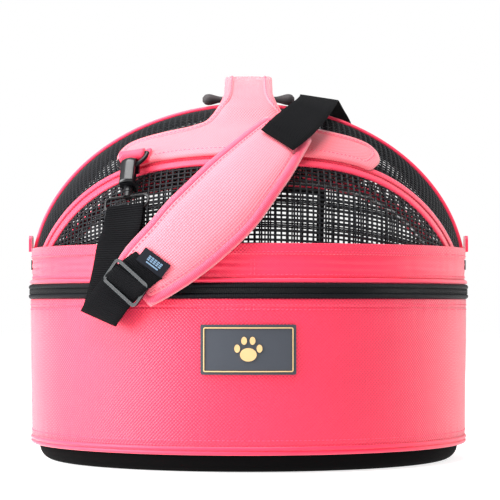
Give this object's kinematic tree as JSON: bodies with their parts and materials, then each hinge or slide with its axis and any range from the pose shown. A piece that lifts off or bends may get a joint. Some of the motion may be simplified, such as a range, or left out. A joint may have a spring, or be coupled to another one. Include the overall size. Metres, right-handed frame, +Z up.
{
  "type": "pet carrier",
  "caption": "Round soft-sided pet carrier and bed: drum base with a hinged, zip-round mesh dome, rear mesh door, carry handle and a padded shoulder strap clipped across the front.",
  "frame": {"origin": "centre of the tray's flat underside, where the carrier stands", "axes": "+Z up, front (badge) faces -Y, +X to the right seen from the front"},
  "size_m": [0.437, 0.4488, 0.38],
  "materials": {
    "pink_fabric": "woven ballistic nylon, satin",
    "pink_coil": "nylon coil zip",
    "black_mesh": "coated square mesh",
    "black_webbing": "nylon webbing",
    "woven_label": "woven",
    "black_plastic": "moulded, fine grain",
    "black_metal": "black coated zinc",
    "steel_rod": "spring steel",
    "grey_rubber": "moulded, matt",
    "badge_plate": "moulded soft plate",
    "badge_relief": "raised, matt",
    "foam": "closed-cell foam",
    "plush": "short plush",
    "board": "stiff sheet"
  },
  "bodies": {
    "base": {"base_tray": "black_plastic", "drum_foam_wall": "foam", "drum_cover": "pink_fabric", "plush_liner": "plush", "floor_board": "board", "foot_piping": "pink_fabric", "zip_flap_lower": "black_webbing", "zip_teeth_lower": "black_plastic", "badge_plate": "badge_plate", "badge_relief": "badge_relief", "rear_hinge_strip": "black_webbing"},
    "cushion": {"bed_cushion": "plush"},
    "dome": {"zip_teeth_upper": "black_plastic", "zip_flap_upper": "black_webbing", "collar_piping": "pink_fabric", "collar_band": "pink_fabric", "collar_hem": "pink_fabric", "rim_wire": "steel_rod", "front_hoop_rod": "steel_rod", "back_hoop_rod": "steel_rod", "ridge_rod": "steel_rod", "front_hoop_band": "pink_fabric", "back_hoop_band": "pink_fabric", "front_door_coil": "pink_coil", "ridge_piping": "pink_fabric", "front_mesh": "black_mesh", "top_mesh_front": "black_mesh", "top_mesh_back": "black_mesh", "back_mesh_sides": "black_mesh", "saddle_front": "pink_fabric", "saddle_back": "pink_fabric", "carry_handle": "pink_fabric", "cross_bar": "grey_rubber", "side_tab_left": "pink_fabric", "side_tab_right": "pink_fabric", "belt_keeper_left": "black_webbing", "belt_keeper_right": "black_webbing", "ring_loop_front": "pink_fabric", "ring_loop_back": "pink_fabric", "d_ring_front": "black_metal", "d_ring_back": "black_metal", "hook_body_front": "black_metal", "hook_body_back": "black_metal", "strap_ring_front": "black_metal", "strap_ring_back": "black_metal", "strap_webbing_front": "black_webbing", "strap_webbing_return": "black_webbing", "strap_turn_front": "black_webbing", "strap_webbing_over": "black_webbing", "shoulder_pad": "pink_fabric", "tri_glide": "black_plastic", "woven_label": "woven_label"},
    "back_door": {"back_door_mesh": "black_mesh", "back_door_hem": "black_webbing"},
    "slider_a": {"zip_slider_a": "black_metal"},
    "slider_b": {"zip_slider_b": "black_metal"},
    "pull_a": {"zip_pull_a": "black_metal"},
    "pull_b": {"zip_pull_b": "black_metal"},
    "gate_front": {"hook_gate_front": "black_metal"},
    "gate_back": {"hook_gate_back": "black_metal"}
  },
  "joints": [
    {"name": "dome_tilt", "type": "hinge", "parent": "base", "child": "dome", "pos_m": [0, 0.2191, 0.164], "axis": [-1, 0, 0], "range_deg": [0, 100]},
    {"name": "back_door_swing", "type": "hinge", "parent": "dome", "child": "back_door", "pos_m": [0, 0.2116, 0.2068], "axis": [-1, 0, 0], "range_deg": [0, 85]},
    {"name": "cushion_lift", "type": "slide", "parent": "base", "child": "cushion", "axis": [0, 0, 1], "range_m": [0, 0.09]},
    {"name": "slider_a_travel", "type": "hinge", "parent": "base", "child": "slider_a", "pos_m": [0, 0, 0.164], "axis": [0, 0, 1], "range_deg": [-126, 0]},
    {"name": "slider_b_travel", "type": "hinge", "parent": "base", "child": "slider_b", "pos_m": [0, 0, 0.164], "axis": [0, 0, 1], "range_deg": [0, 34]},
    {"name": "pull_a_swing", "type": "hinge", "parent": "slider_a", "child": "pull_a", "pos_m": [0.19668, 0.10458, 0.164], "axis": [0.4695, -0.8829, 0], "range_deg": [-8, 90]},
    {"name": "pull_b_swing", "type": "hinge", "parent": "slider_b", "child": "pull_b", "pos_m": [0.18021, 0.13093, 0.164], "axis": [0.5878, -0.809, 0], "range_deg": [-8, 90]},
    {"name": "gate_front_press", "type": "hinge", "parent": "dome", "child": "gate_front", "pos_m": [-0.10837, -0.16281, 0.26246], "axis": [0.9561, -0.2722, 0.1089], "range_deg": [0, 20], "stiffness_Nm_per_rad": 0.02, "springref_deg": -17.19},
    {"name": "gate_back_press", "type": "hinge", "parent": "dome", "child": "gate_back", "pos_m": [0.1004, 0.12077, 0.30338], "axis": [0.9042, -0.365, -0.2217], "range_deg": [0, 20], "stiffness_Nm_per_rad": 0.02, "springref_deg": -17.19}
  ]
}
